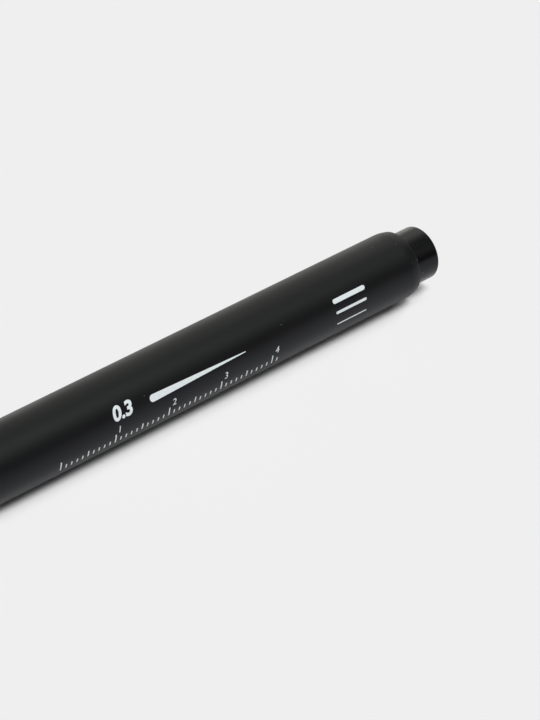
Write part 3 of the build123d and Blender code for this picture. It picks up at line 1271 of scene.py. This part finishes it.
@dataclass
class TailPlug:
    """Glossy plug in the barrel's tail: a hollow insert with a web, and a post with a sunk gate mark."""

    span: Span
    barrel_rear: float
    insert: float = 3.98
    hollow: float = 3.08
    end_wall: float = 1.4
    post_ease: float = 0.47
    seat_ease: float = 0.05
    gate_radius: float = 0.8
    gate_depth: float = 0.25
    gate_ease: float = 0.08
    web_thickness: float = 0.8
    web_overlap: float = 0.2
    web_count: int = 4

    def corners(self) -> list[Corner]:
        """Lay out the plug's outline.

        Returns:
            Its corners, from the middle of the hollow's end to the middle of the gate mark.
        """
        front, rear, post = self.span.front, self.span.rear, self.span.radius
        return [
            Corner(rear - self.end_wall, 0.0),
            Corner(rear - self.end_wall, self.hollow),
            Corner(front, self.hollow),
            Corner(front, self.insert),
            Corner(self.barrel_rear, self.insert),
            Corner(self.barrel_rear, post, self.seat_ease),
            Corner(rear, post, self.post_ease),
            Corner(rear, self.gate_radius, self.gate_ease),
            Corner(rear - self.gate_depth, self.gate_radius, self.gate_ease),
            Corner(rear - self.gate_depth, 0.0),
        ]

    def build(self) -> None:
        """Make the plug with the web in its hollow."""
        material = PLUG_PLASTIC.material()
        plug = solid_piece("tail_plug_moulding", turned(self.corners()), material)
        sunk = (self.insert - self.hollow) / 2
        reach = self.hollow + sunk
        length = self.span.rear - self.end_wall + sunk - self.span.front
        web = BarRing(
            count=self.web_count,
            radius=(reach - self.web_overlap) / 2,
            length=length,
            height=reach + self.web_overlap,
            thickness=self.web_thickness,
            station=self.span.front + length / 2,
        )
        combine(plug, web.build("tail_plug_web", material), Join.FUSE, crossing=True)
        hand_over(plug, Body.PEN, "plug_plastic", "tail_plug")


@dataclass
class WritingEnd:
    """Nib holder with its land, cone, vents and spike, the steel sleeve in it and the fibre nib."""

    holder: Span
    sleeve: Span
    nib: Span
    nose_length: float = 5.2
    nose_radius: float = 1.07
    nose_step: float = 0.3
    land_length: float = 2.6
    land_radius: float = 2.58
    flange_thickness: float = 0.8
    shank_radius: float = 3.28
    shank_length: float = 7.5
    spike_radius: float = 1.42
    wick_bore: float = 1.02
    fit: float = 0.02
    sleeve_wall: float = 0.16
    crimp_length: float = 0.9
    point_radius: float = 0.18
    point_facets: int = 8
    vent_count: int = 2
    vent_circle: float = 1.67
    vent_diameter: float = 0.6
    edge_ease: float = 0.12
    small_ease: float = 0.05

    def steps(self) -> tuple[float, float, float, float]:
        """Find the steps along the holder.

        Returns:
            Stations where its land, flange and shank start, and where the shank ends.
        """
        land = self.holder.front + self.nose_length
        flange = land + self.land_length
        front = flange + self.flange_thickness
        return land, flange, front, front + self.shank_length

    def holder_corners(self) -> list[Corner]:
        """Lay out the holder's outline.

        Returns:
            Its corners, outside from the nose to the spike and back through the bore.
        """
        nose, spike = self.holder.front, self.holder.rear
        land, flange, front, shank = self.steps()
        seat = self.sleeve.radius + self.fit
        return [
            Corner(nose, seat),
            Corner(nose, self.nose_radius, self.edge_ease),
            Corner(land, self.land_radius - self.nose_step, self.small_ease),
            Corner(land, self.land_radius, self.small_ease),
            Corner(flange, self.land_radius, self.edge_ease),
            Corner(flange, self.holder.radius, self.edge_ease),
            Corner(front, self.holder.radius),
            Corner(front, self.shank_radius),
            Corner(shank, self.shank_radius, self.edge_ease),
            Corner(shank, self.spike_radius),
            Corner(spike, self.spike_radius, self.edge_ease),
            Corner(spike, self.wick_bore),
            Corner(self.sleeve.rear, self.wick_bore),
            Corner(self.sleeve.rear, seat),
        ]

    def sleeve_corners(self) -> list[Corner]:
        """Lay out the sleeve's outline: a tube drawn in at its front.

        Returns:
            Its corners, outside from the front to the rear and back through the bore.
        """
        crimp = self.sleeve.front + self.crimp_length
        mouth = self.point_radius + self.fit
        inside = self.sleeve.radius - self.sleeve_wall
        return [
            Corner(self.sleeve.front, mouth),
            Corner(self.sleeve.front, mouth + self.sleeve_wall, self.small_ease),
            Corner(crimp, self.sleeve.radius, self.crimp_length / 2),
            Corner(self.sleeve.rear, self.sleeve.radius),
            Corner(self.sleeve.rear, inside),
            Corner(crimp, inside),
        ]

    def nib_corners(self) -> list[Corner]:
        """Lay out the nib's outline.

        Returns:
            Its corners, from the round point to the tail.
        """
        tip, tail = self.nib.front, self.nib.rear
        crimp = self.sleeve.front + self.crimp_length
        middle = (tip + self.point_radius, 0.0)
        point = arc(middle, self.point_radius, math.pi, -math.pi / 2, self.point_facets)
        point[0] = Corner(tip, 0.0)
        return [
            *point,
            Corner(self.sleeve.front, self.point_radius),
            Corner(crimp, self.nib.radius),
            Corner(tail, self.nib.radius),
            Corner(tail, 0.0),
        ]

    def build(self) -> None:
        """Make the holder with its vents, the sleeve and the nib."""
        plastic = HOLDER_PLASTIC.material()
        holder = solid_piece("nib_holder_moulding", turned(self.holder_corners()), plastic)
        clear = self.vent_diameter
        length = self.steps()[-1] - self.holder.front + 2 * clear
        vents = BarRing(
            count=self.vent_count,
            radius=self.vent_circle,
            length=length,
            height=self.vent_diameter,
            thickness=self.vent_diameter,
            station=self.holder.front - clear + length / 2,
            form=Bar.ROD,
        )
        combine(holder, vents.build("nib_holder_vents", plastic), Join.CUT)
        hand_over(holder, Body.PEN, "holder_plastic", "nib_holder")
        sleeve = solid_piece("nib_sleeve_tube", turned(self.sleeve_corners()), SLEEVE_STEEL.material())
        hand_over(sleeve, Body.PEN, "sleeve_steel", "nib_sleeve")
        nib = solid_piece("nib_point", turned(self.nib_corners()), NIB_FIBRE.material())
        hand_over(nib, Body.PEN, "nib_fibre", "nib")


@dataclass
class InkStore:
    """Reservoir, film and feed wick, shut in the barrel: the CAD nodes with their own finishes."""

    nodes: dict[str, Piece]
    finishes: tuple[tuple[str, Clouded], ...] = (
        ("reservoir_core", CORE_FIBRE),
        ("reservoir_film", CORE_FILM),
        ("feed_wick", WICK_FIBRE),
    )

    def build(self) -> None:
        """Give each node its finish."""
        for name, finish in self.finishes:
            self.nodes[name].material_slots[0].material = finish.material()
            LOG.info("%s keeps its CAD shape", name)


@dataclass
class ClipSeat:
    """Where the clip goes through the cap: its station, and the axes of its slot."""

    station: float
    outward: Vector
    across: Vector

    @classmethod
    def of(cls, joints: Sequence[dict]) -> ClipSeat:
        """Read the seat from the clip's hinge.

        Args:
            joints: The frame's joints.

        Returns:
            The seat.
        """
        hinge = next(joint for joint in joints if joint["child"] == Body.CLIP.value)
        axis = Vector(hinge["axis"]).normalized()
        return cls(hinge["pos_m"][0] / MM, axis.cross(Vector((1, 0, 0))), -axis)

    @property
    def axes(self) -> Matrix:
        """Rotation whose columns are along the pen, across the clip and outward."""
        return Matrix((Vector((1, 0, 0)), self.across, self.outward)).transposed().to_4x4()


@dataclass
class Cap:
    """Pull-off cap: the shell with its snap bead and clip slot, the sealing liner, the glossy crown."""

    shell: Span
    liner: Span
    crown: Span
    seat: ClipSeat
    bore: float = 4.52
    top_bore: float = 4.02
    straight: float = 33.0
    taper: float = 0.25
    mouth_lead: float = 0.25
    mouth_ease: float = 0.15
    top_ease: float = 0.45
    bead: float = 4.4
    bead_middle: float = -4.0
    bead_width: float = 1.2
    bead_ease: float = 0.15
    crown_disc: float = 1.4
    crown_stem: float = 4.0
    crown_wall: float = 1.5
    crown_ease: float = 0.2
    liner_outer: float = 3.23
    liner_bore: float = 2.63
    liner_flange: float = 1.0
    liner_end: float = 0.8
    liner_ease: float = 0.12
    fin_count: int = 4
    fin_thickness: float = 0.7
    fin_gap: float = 0.0175
    fin_root_share: float = 0.25
    fin_setback: float = 2.0
    slot_length: float = 0.9
    slot_width: float = 3.4

    def shell_corners(self) -> list[Corner]:
        """Lay out the shell's outline.

        Returns:
            Its corners, outside from the mouth to the top and back through the bore.
        """
        mouth, top, radius = self.shell.rear, self.shell.front, self.shell.radius
        disc = top + self.crown_disc
        bead = self.bead_middle
        half = self.bead_width / 2
        return [
            Corner(mouth, self.bore + self.mouth_lead),
            Corner(mouth, radius, self.mouth_ease),
            Corner(-self.straight, radius, 2 * self.straight),
            Corner(top, radius - self.taper, self.top_ease),
            Corner(top, self.bore),
            Corner(disc, self.bore),
            Corner(disc, self.top_bore),
            Corner(self.liner.front, self.top_bore),
            Corner(self.liner.front, self.bore),
            Corner(bead - half, self.bore),
            Corner(bead - half / 2, self.bead, self.bead_ease),
            Corner(bead + half / 2, self.bead, self.bead_ease),
            Corner(bead + half, self.bore),
            Corner(mouth - 2 * self.mouth_lead, self.bore),
        ]

    def liner_corners(self) -> list[Corner]:
        """Lay out the liner's outline.

        Returns:
            Its corners, from the middle of the closed end to the inside of that end.
        """
        end, skirt = self.liner.front, self.liner.rear
        return [
            Corner(end, 0.0),
            Corner(end, self.liner.radius),
            Corner(end + self.liner_flange, self.liner.radius, self.liner_ease),
            Corner(end + self.liner_flange, self.liner_outer, self.liner_ease),
            Corner(skirt, self.liner_outer, self.liner_ease),
            Corner(skirt, self.liner_bore, self.liner_ease),
            Corner(end + self.liner_end, self.liner_bore),
            Corner(end + self.liner_end, 0.0),
        ]

    def crown_corners(self) -> list[Corner]:
        """Lay out the crown's outline.

        Returns:
            Its corners, from the middle of the face to the middle of the hollow.
        """
        top, stem = self.crown.front, self.crown.rear
        disc = top + self.crown_disc
        inside = self.crown_stem - self.crown_wall
        return [
            Corner(top, 0.0),
            Corner(top, self.crown.radius, self.crown_ease),
            Corner(disc, self.crown.radius),
            Corner(disc, self.crown_stem),
            Corner(stem, self.crown_stem),
            Corner(stem, inside),
            Corner(disc, inside),
            Corner(disc, 0.0),
        ]

    def slot(self, name: str, rear: float) -> Piece:
        """Make the block that cuts the clip's slot.

        Args:
            name: Name of the block.
            rear: Station where the slot ends.

        Returns:
            The block.
        """
        front = self.seat.station - self.slot_length / 2
        low = Vector((front, -self.slot_width / 2, 0))
        high = Vector((rear, self.slot_width / 2, 2 * self.shell.radius))
        return block(name, low, high, self.seat.axes)

    def build(self) -> None:
        """Make the shell, the liner with its fins and the crown."""
        shell = solid_piece("cap_moulding", turned(self.shell_corners()), CAP_PLASTIC.material())
        combine(shell, self.slot("cap_slot", self.seat.station + self.slot_length / 2), Join.CUT)
        hand_over(shell, Body.CAP, "cap_plastic", "cap_shell")
        plastic = LINER_PLASTIC.material()
        liner = solid_piece("cap_liner", turned(self.liner_corners()), plastic)
        sunk = (self.liner_outer - self.liner_bore) * self.fin_root_share
        start = self.liner.front + self.liner_flange - sunk
        length = self.liner.rear - self.fin_setback - start
        height = self.liner.radius - self.liner_outer + sunk
        fins = BarRing(
            count=self.fin_count,
            radius=self.liner.radius - height / 2 - self.fin_gap,
            length=length,
            height=height,
            thickness=self.fin_thickness,
            station=start + length / 2,
            start=180 / self.fin_count,
        )
        combine(liner, fins.build("cap_liner_fins", plastic), Join.FUSE)
        hand_over(liner, Body.CAP, "liner_plastic", "inner_cap")
        crown = solid_piece("cap_crown_disc", turned(self.crown_corners()), CROWN_PLASTIC.material())
        combine(crown, self.slot("crown_slot", self.crown.rear + self.crown_wall), Join.CUT)
        hand_over(crown, Body.CAP, "crown_plastic", "cap_crown")


def square_to(heading: float) -> Vector:
    """Return the unit vector a quarter turn on from a heading."""
    return Vector((-math.sin(heading), math.cos(heading)))


@dataclass
class PocketClip:
    """Steel pocket clip: a strip with a narrowed tongue, cut flat, eased at its edges and then bent."""

    seat: ClipSeat
    tip: float
    cap_radius: float
    thickness: float = 0.5
    width: float = 4.2
    tip_width: float = 3.2
    tongue_width: float = 3.0
    tongue_end: float = 2.9
    tongue_shoulder: float = 5.42
    arm: float = 6.8706
    reach: float = 30.0
    contact_gap: float = 0.15
    lift: float = 1.0
    root_bend: float = 1.0
    contact_bend: float = 3.0
    edge_ease: float = 0.13
    edge_facets: int = 3
    edge_round: float = 0.5
    bend_facets: int = 14
    tip_facets: int = 28

    def bends(self) -> list[tuple[Vector, float]]:
        """Lay out the strip's middle line.

        Returns:
            Its corners, along the pen and outward, each with its bend radius.
        """
        station = self.seat.station
        contact = station + self.reach
        seat = self.cap_radius + self.contact_gap + self.thickness / 2
        return [
            (Vector((station, self.tongue_end)), 0.0),
            (Vector((station, self.arm)), self.root_bend),
            (Vector((contact, seat)), self.contact_bend),
            (Vector((self.tip, seat + self.lift)), 0.0),
        ]

    def route(self) -> list[tuple[float, float, Vector, float]]:
        """Follow the strip's middle line.

        Returns:
            Its runs: the length, curvature, start point and start heading of each.
        """
        corners = self.bends()
        runs = []
        used = 0.0
        for (here, _), (ahead, radius), beyond in zip(corners, corners[1:], [*corners[2:], None]):
            way = ahead - here
            heading = math.atan2(way.y, way.x)
            turn = 0.0
            if beyond is not None:
                onward = beyond[0] - ahead
                turn = math.remainder(math.atan2(onward.y, onward.x) - heading, 2 * math.pi)
            cut = radius * math.tan(abs(turn) / 2)
            runs.append((way.length - used - cut, 0.0, here + way.normalized() * used, heading))
            if turn:
                start = ahead - way.normalized() * cut
                runs.append((radius * abs(turn), math.copysign(1 / radius, turn), start, heading))
            used = cut
        return runs

    def bent(self, along: float, across: float, height: float) -> Vector:
        """Find where a point of the flat strip goes.

        Args:
            along: Distance from the tongue's end.
            across: Distance from the middle line.
            height: Distance from the strip's middle plane, outward on the arm.

        Returns:
            The point in the frame, in metres.
        """
        runs = self.route()
        for length, curve, start, heading in runs:
            if along <= length or (length, curve, start, heading) == runs[-1]:
                break
            along -= length
        if curve:
            centre = start + square_to(heading) / curve
            heading += along * curve
            place = centre - square_to(heading) / curve
        else:
            place = start + Vector((math.cos(heading), math.sin(heading))) * along
        side = place + square_to(heading) * height
        return (Vector((side.x, 0, 0)) + self.seat.outward * side.y + self.seat.across * across) * MM

    def flat_outline(self) -> list[Point]:
        """Lay out the flat strip: tongue, shoulders, tapered arm and round tip.

        Returns:
            The points of its outline in order.
        """
        length = sum(run[0] for run in self.route())
        shoulder = self.tongue_shoulder - self.tongue_end
        half, tip, tongue = self.width / 2, self.tip_width / 2, self.tongue_width / 2
        straight = self.arm - self.tongue_end
        tip_arc = arc((length - tip, 0.0), tip, -math.pi / 2, math.pi, self.tip_facets)
        return [
            (0.0, -tongue), (shoulder, -tongue), (shoulder, -half), (straight, -half),
            *((corner.x, corner.r) for corner in tip_arc),
            (straight, half), (shoulder, half), (shoulder, tongue), (0.0, tongue),
        ]

    def build(self) -> None:
        """Cut the strip, ease its edges, bend it and hand it over."""
        strip = plate(self.flat_outline(), self.thickness)
        rims = [edge for edge in strip.edges if abs(edge.verts[0].co.z - edge.verts[1].co.z) < LEVEL]
        bmesh.ops.bevel(
            strip, geom=rims, offset=self.edge_ease * MM, segments=self.edge_facets,
            profile=self.edge_round, affect="EDGES",
        )
        cuts: list[float] = []
        reached = 0.0
        for length, curve, _, _ in self.route():
            steps = self.bend_facets if curve else math.ceil(length)
            cuts.extend(reached + length * step / steps for step in range(steps + 1))
            reached += length
        sliced(strip, 0, cuts)
        flat = strip.loops.layers.uv.new(STRIP_MAP)
        for corner in (corner for face in strip.faces for corner in face.loops):
            corner[flat].uv = corner.vert.co.xy
        for vertex in strip.verts:
            along, across, height = vertex.co / MM
            vertex.co = self.bent(along, across, height - self.thickness / 2)
        face_outwards(strip)
        clip = solid_piece("clip_spring", strip, CLIP_STEEL.material())
        hand_over(clip, Body.CLIP, "clip_steel", "clip")


class Side(Enum):
    """End of the pen whose reflections a glow is seen in."""

    CAP = "cap"
    TAIL = "tail"


@dataclass(frozen=True)
class Lamp:
    """A far lamp: where it stands, its power and the angle that it spans in the sky, in degrees."""

    name: str
    stands: tuple[float, float, float]
    power: float
    spread: float


@dataclass(frozen=True)
class Glow:
    """A soft light that only reflections show.

    Angles are degrees from the front, over the top, to the back.
    """

    side: Side
    middle: float
    reach: float
    tone: float


@dataclass
class Studio:
    """Pale floor, soft light from above and from the tail's side, soft glows, and the camera."""

    floor_height: float
    floor_size: float = 12.0
    floor_tone: float = 0.85
    backdrop: float = 0.863
    ambient: float = 0.03
    lamps: tuple[Lamp, ...] = (
        Lamp("key_light", (0.12, -0.44, 1.0), power=1.72, spread=24.0),
        Lamp("side_light", (0.94, -0.37, 1.0), power=2.2, spread=43.0),
    )
    glow_tint: Colour = (0.993, 1.0, 0.9)
    glow_edges: Point = (0.3, 0.61)
    glow_fade: Point = (0.64, 0.92)
    glow_rest: float = 0.5
    glows: tuple[Glow, ...] = (
        Glow(Side.CAP, middle=66.0, reach=34.0, tone=3.84),
        Glow(Side.CAP, middle=147.0, reach=70.0, tone=0.5),
        Glow(Side.CAP, middle=180.0, reach=10.0, tone=4.2),
        Glow(Side.TAIL, middle=37.0, reach=27.0, tone=0.44),
        Glow(Side.TAIL, middle=124.0, reach=47.0, tone=1.62),
        Glow(Side.TAIL, middle=180.0, reach=40.0, tone=1.7),
    )
    eye: tuple[float, float, float] = (-172.79, -269.38, 245.85)
    azimuth: float = -41.47
    elevation: float = 35.03
    lens: float = 144.15
    near: float = 0.01

    def floor(self) -> None:
        """Lay the floor."""
        shape = bmesh.new()
        place = Matrix.Translation((0, 0, self.floor_height))
        bmesh.ops.create_grid(shape, x_segments=1, y_segments=1, size=self.floor_size / 2, matrix=place)
        graph = SurfaceGraph("studio_floor")
        tone = self.floor_tone
        graph.keep(Base_Color=(tone, tone, tone, 1), Roughness=1.0, Specular_IOR_Level=0.0)
        solid_piece("studio_floor", shape, graph.material)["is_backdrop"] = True

    def light(self) -> None:
        """Hang the soft lamps."""
        for lamp in self.lamps:
            sun = bpy.data.lights.new(lamp.name, "SUN")
            sun.energy = lamp.power
            sun.angle = math.radians(lamp.spread)
            hung = placed(lamp.name, sun)
            hung.rotation_euler = Vector(lamp.stands).to_track_quat("Z", "Y").to_euler()
            hung.visible_glossy = False

    def sky(self) -> None:
        """Surround the pen: glows for reflections, a low even light for the rest, a pale backdrop."""
        world = bpy.data.worlds.new("studio_sky")
        world.use_nodes = True
        world.cycles.sampling_method = "NONE"
        bpy.context.scene.world = world
        graph = Graph(world.node_tree)
        graph.tree.nodes.clear()
        way = graph.parts(graph.add("ShaderNodeTexCoord").outputs["Generated"])
        over = graph.maths("ARCTAN2", way["Z"], graph.maths("MULTIPLY", way["Y"], -1.0))
        fade = graph.ramp(way["X"], self.glow_fade, 1.0, self.glow_rest)
        share = {
            Side.CAP: graph.ramp(way["X"], self.glow_edges, 1.0, 0.0),
            Side.TAIL: graph.ramp(way["X"], self.glow_edges, 0.0, fade),
        }
        tone: object = 0.0
        for glow in self.glows:
            away = graph.maths("ABSOLUTE", graph.maths("SUBTRACT", over, math.radians(glow.middle)))
            light = graph.ramp(away, (math.radians(glow.reach), 0.0), 0.0, glow.tone)
            tone = graph.maths("MULTIPLY_ADD", light, share[glow.side], tone)
        shine = {"Color": (*self.glow_tint, 1), "Strength": tone}
        mirrored = graph.out("ShaderNodeBackground", shine)
        even = graph.out("ShaderNodeBackground", {"Strength": self.ambient})
        behind = graph.out("ShaderNodeBackground", {"Strength": self.backdrop})
        ray = graph.add("ShaderNodeLightPath").outputs
        seen = graph.out("ShaderNodeMixShader", {0: ray["Is Glossy Ray"], 1: even, 2: mirrored})
        whole = graph.out("ShaderNodeMixShader", {0: ray["Is Camera Ray"], 1: seen, 2: behind})
        graph.add("ShaderNodeOutputWorld", {"Surface": whole})

    def camera(self) -> None:
        """Set up the camera at the photograph's view."""
        turn, rise = math.radians(self.azimuth), math.radians(self.elevation)
        level = math.cos(rise)
        ahead = Vector((-math.sin(turn) * level, math.cos(turn) * level, -math.sin(rise)))
        camera = bpy.data.cameras.new("camera")
        camera.lens = self.lens
        camera.clip_start = self.near
        viewer = placed("camera", camera)
        viewer.location = Vector(self.eye) * MM
        viewer.rotation_euler = ahead.to_track_quat("-Z", "Y").to_euler()
        bpy.context.scene.camera = viewer

    def build(self) -> None:
        """Set up the floor, the lights and the camera."""
        self.floor()
        self.light()
        self.sky()
        self.camera()
        bpy.context.scene.view_settings.view_transform = "Standard"


def main() -> None:
    """Load the frame, dress the pen and set up the studio."""
    logging.basicConfig(level=logging.INFO, format="%(name)s: %(message)s")
    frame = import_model()
    cad_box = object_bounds()
    mounts = {mount["name"]: mount for mount in frame["record"]["mounts"]}
    seat = ClipSeat.of(frame["joints"])
    barrel = Span.of("barrel")
    cap = Span.of("cap_shell")
    wall = mounts["barrel_wall"]
    Barrel(barrel).build()
    BarrelPrint(wall["dims"]["r_mm"]).build()
    TailPlug(Span.of("tail_plug"), barrel_rear=barrel.rear).build()
    WritingEnd(Span.of("nib_holder"), Span.of("nib_sleeve"), Span.of("nib")).build()
    InkStore(frame["nodes"]).build()
    Cap(cap, Span.of("inner_cap"), Span.of("cap_crown"), seat).build()
    PocketClip(seat, tip=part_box("clip")[1].x / MM, cap_radius=cap.radius).build()
    Studio(floor_height=cad_box[0].z).build()


if __name__ == "__main__":
    main()
